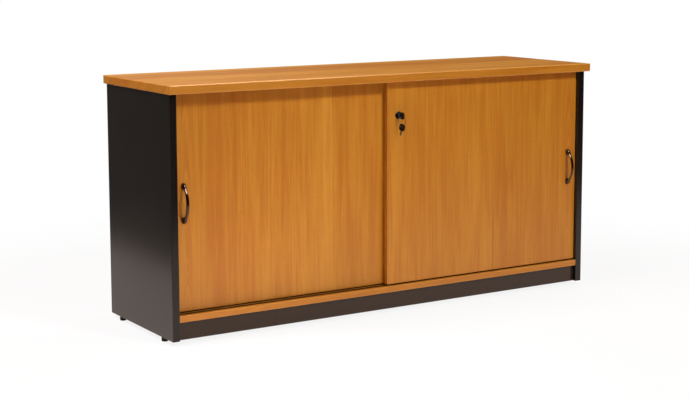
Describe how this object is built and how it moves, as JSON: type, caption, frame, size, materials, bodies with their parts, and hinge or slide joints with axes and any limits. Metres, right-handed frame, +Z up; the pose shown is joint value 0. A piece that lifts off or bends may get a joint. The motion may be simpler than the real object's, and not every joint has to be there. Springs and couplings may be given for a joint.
{
  "type": "office credenza",
  "caption": "Low office cupboard with a beech worktop over dark end panels, sliding doors that roll in tracks, bow handles, a push lock with its keys, shelves and levelling feet.",
  "frame": {"origin": "on the floor, below the middle of the worktop", "axes": "+X along the front to the right as seen from the front, +Y from the front to the back, +Z up"},
  "size_m": [1.5, 0.45, 0.73],
  "materials": {
    "beech": "beech-grain melamine",
    "charcoal": "charcoal melamine",
    "handle_metal": "polished dark nickel",
    "lock_metal": "polished black nickel",
    "steel": "zinc plated",
    "black_plastic": "moulded",
    "track_plastic": "extruded",
    "nylon": "moulded"
  },
  "bodies": {
    "carcass": {"top_panel": "beech", "left_end_panel": "charcoal", "right_end_panel": "charcoal", "bottom_panel": "beech", "kick_board": "charcoal", "back_panel": "charcoal", "plinth_brace": "charcoal", "centre_divider": "beech", "left_shelf": "beech", "right_shelf": "beech", "front_bottom_track": "track_plastic", "rear_bottom_track": "track_plastic", "front_top_track": "track_plastic", "rear_top_track": "track_plastic", "left_shelf_left_front_pin": "steel", "left_shelf_left_rear_pin": "steel", "left_shelf_right_front_pin": "steel", "left_shelf_right_rear_pin": "steel", "right_shelf_left_front_pin": "steel", "right_shelf_left_rear_pin": "steel", "right_shelf_right_front_pin": "steel", "right_shelf_right_rear_pin": "steel"},
    "left_door": {"left_door": "beech", "left_handle": "handle_metal", "left_handle_lower_screw": "steel", "left_handle_upper_screw": "steel", "left_roller_housing_a": "black_plastic", "left_roller_housing_b": "black_plastic", "left_roller_axle_a": "steel", "left_roller_axle_b": "steel", "left_top_guide_a": "nylon", "left_top_guide_b": "nylon"},
    "left_wheel_a": {"left_roller_wheel_a": "nylon"},
    "left_wheel_b": {"left_roller_wheel_b": "nylon"},
    "right_door": {"right_door": "beech", "right_handle": "handle_metal", "right_handle_lower_screw": "steel", "right_handle_upper_screw": "steel", "right_roller_housing_a": "black_plastic", "right_roller_housing_b": "black_plastic", "right_roller_axle_a": "steel", "right_roller_axle_b": "steel", "right_top_guide_a": "nylon", "right_top_guide_b": "nylon", "lock_housing": "lock_metal", "lock_nut": "steel"},
    "right_wheel_a": {"right_roller_wheel_a": "nylon"},
    "right_wheel_b": {"right_roller_wheel_b": "nylon"},
    "lock_plunger": {"lock_plunger": "lock_metal"},
    "lock_core": {"lock_core": "steel"},
    "key": {"key_bow": "black_plastic", "key_blade": "steel"},
    "key_ring": {"key_ring": "steel", "spare_key_bow": "black_plastic", "spare_key_blade": "steel"},
    "front_left_foot": {"front_left_foot": "black_plastic"},
    "rear_left_foot": {"rear_left_foot": "black_plastic"},
    "front_right_foot": {"front_right_foot": "black_plastic"},
    "rear_right_foot": {"rear_right_foot": "black_plastic"}
  },
  "joints": [
    {"name": "left_door_slide", "type": "slide", "parent": "carcass", "child": "left_door", "axis": [1, 0, 0], "range_m": [0, 0.655]},
    {"name": "right_door_slide", "type": "slide", "parent": "carcass", "child": "right_door", "axis": [1, 0, 0], "range_m": [-0.655, 0]},
    {"name": "left_wheel_a_spin", "type": "hinge", "parent": "left_door", "child": "left_wheel_a", "pos_m": [-0.6285, -0.162, 0.0913], "axis": [0, 1, 0], "continuous": true},
    {"name": "left_wheel_b_spin", "type": "hinge", "parent": "left_door", "child": "left_wheel_b", "pos_m": [-0.072, -0.162, 0.0913], "axis": [0, 1, 0], "continuous": true},
    {"name": "right_wheel_a_spin", "type": "hinge", "parent": "right_door", "child": "right_wheel_a", "pos_m": [0.072, -0.184, 0.0913], "axis": [0, 1, 0], "continuous": true},
    {"name": "right_wheel_b_spin", "type": "hinge", "parent": "right_door", "child": "right_wheel_b", "pos_m": [0.6285, -0.184, 0.0913], "axis": [0, 1, 0], "continuous": true},
    {"name": "lock_push", "type": "slide", "parent": "right_door", "child": "lock_plunger", "axis": [0, 1, 0], "range_m": [0, 0.007], "stiffness_N_per_m": 250, "springref_m": -0.01},
    {"name": "key_turn", "type": "hinge", "parent": "lock_plunger", "child": "lock_core", "pos_m": [0.021, -0.193, 0.602], "axis": [0, 1, 0], "range_deg": [0, 90]},
    {"name": "key_pull", "type": "slide", "parent": "lock_core", "child": "key", "axis": [0, -1, 0], "range_m": [0, 0.03]},
    {"name": "key_ring_swing", "type": "hinge", "parent": "key", "child": "key_ring", "pos_m": [0.021, -0.213, 0.6003], "axis": [-0.2588, 0.9659, 0], "range_deg": [-15, 15]},
    {"name": "front_left_foot_level", "type": "slide", "parent": "carcass", "child": "front_left_foot", "axis": [0, 0, 1], "range_m": [-0.01, 0]},
    {"name": "rear_left_foot_level", "type": "slide", "parent": "carcass", "child": "rear_left_foot", "axis": [0, 0, 1], "range_m": [-0.01, 0]},
    {"name": "front_right_foot_level", "type": "slide", "parent": "carcass", "child": "front_right_foot", "axis": [0, 0, 1], "range_m": [-0.01, 0]},
    {"name": "rear_right_foot_level", "type": "slide", "parent": "carcass", "child": "rear_right_foot", "axis": [0, 0, 1], "range_m": [-0.01, 0]}
  ],
  "couplings": [
    {"joint": "left_wheel_a_spin", "follows": "left_door_slide", "rad_per_m": 83.333},
    {"joint": "left_wheel_b_spin", "follows": "left_door_slide", "rad_per_m": 83.333},
    {"joint": "right_wheel_a_spin", "follows": "right_door_slide", "rad_per_m": 83.333},
    {"joint": "right_wheel_b_spin", "follows": "right_door_slide", "rad_per_m": 83.333}
  ]
}
